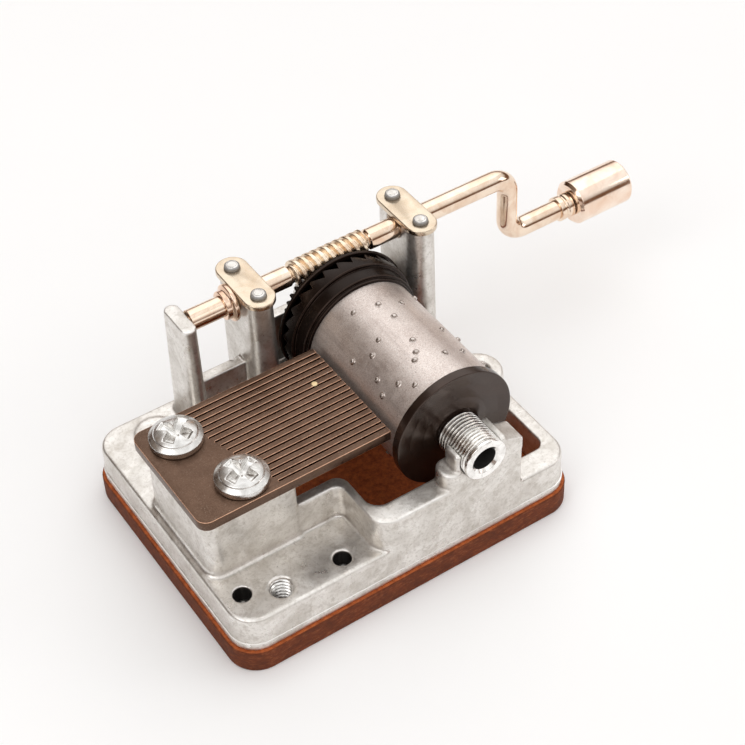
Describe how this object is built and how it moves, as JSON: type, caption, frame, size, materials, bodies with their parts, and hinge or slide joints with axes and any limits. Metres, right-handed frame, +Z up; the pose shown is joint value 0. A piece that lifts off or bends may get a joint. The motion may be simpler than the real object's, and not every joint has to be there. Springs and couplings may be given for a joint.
{
  "type": "hand cranked cylinder music movement",
  "caption": "Open hand cranked music movement: a crank with a worm turns a pinned drum that plucks a steel comb, all on a small metal frame with a wooden base board.",
  "frame": {"origin": "middle of the underside of the base board", "axes": "+X along the crank towards its knob, -Y towards the bearing sleeve at the drum's front end, +Z up"},
  "size_m": [0.0834, 0.0397, 0.0286],
  "materials": {
    "board": "dyed hardboard, bare edges",
    "screw_steel": "zinc plated",
    "casting": "rough zinc die casting",
    "comb_steel": "ground and heat browned",
    "weight_metal": "dull",
    "pan_screw": "bright nickel plated",
    "sleeve_nickel": "bright turned",
    "strap_copper": "polished copper plate",
    "drum_steel": "satin",
    "dark_plastic": "gloss with worn edges",
    "arbor_steel": "turned",
    "crank_copper": "polished copper plate",
    "knob_copper": "polished copper plate"
  },
  "bodies": {
    "static": {"base_board": "board", "board_screws": "screw_steel", "cast_frame": "casting", "comb": "comb_steel", "comb_weights": "weight_metal", "comb_screws": "pan_screw", "bearing_sleeve": "sleeve_nickel", "strap_inner": "strap_copper", "strap_outer": "strap_copper"},
    "crank": {"crank_rod": "crank_copper", "crank_collar": "crank_copper"},
    "knob": {"crank_knob": "knob_copper"},
    "drum": {"drum_shell": "drum_steel", "drum_front_cap": "dark_plastic", "drum_gear": "dark_plastic", "drum_arbor": "arbor_steel"}
  },
  "joints": [
    {"name": "crank_turn", "type": "hinge", "parent": "static", "child": "crank", "pos_m": [0, 0.01415, 0.02577], "axis": [1, 0, 0], "continuous": true},
    {"name": "drum_turn", "type": "hinge", "parent": "static", "child": "drum", "pos_m": [0.0101, 0, 0.01745], "axis": [0, 1, 0], "continuous": true},
    {"name": "knob_spin", "type": "hinge", "parent": "crank", "child": "knob", "pos_m": [0.0539, 0.01415, 0.01557], "axis": [1, 0, 0], "continuous": true}
  ],
  "couplings": [
    {"joint": "drum_turn", "follows": "crank_turn", "ratio": -0.052632}
  ]
}
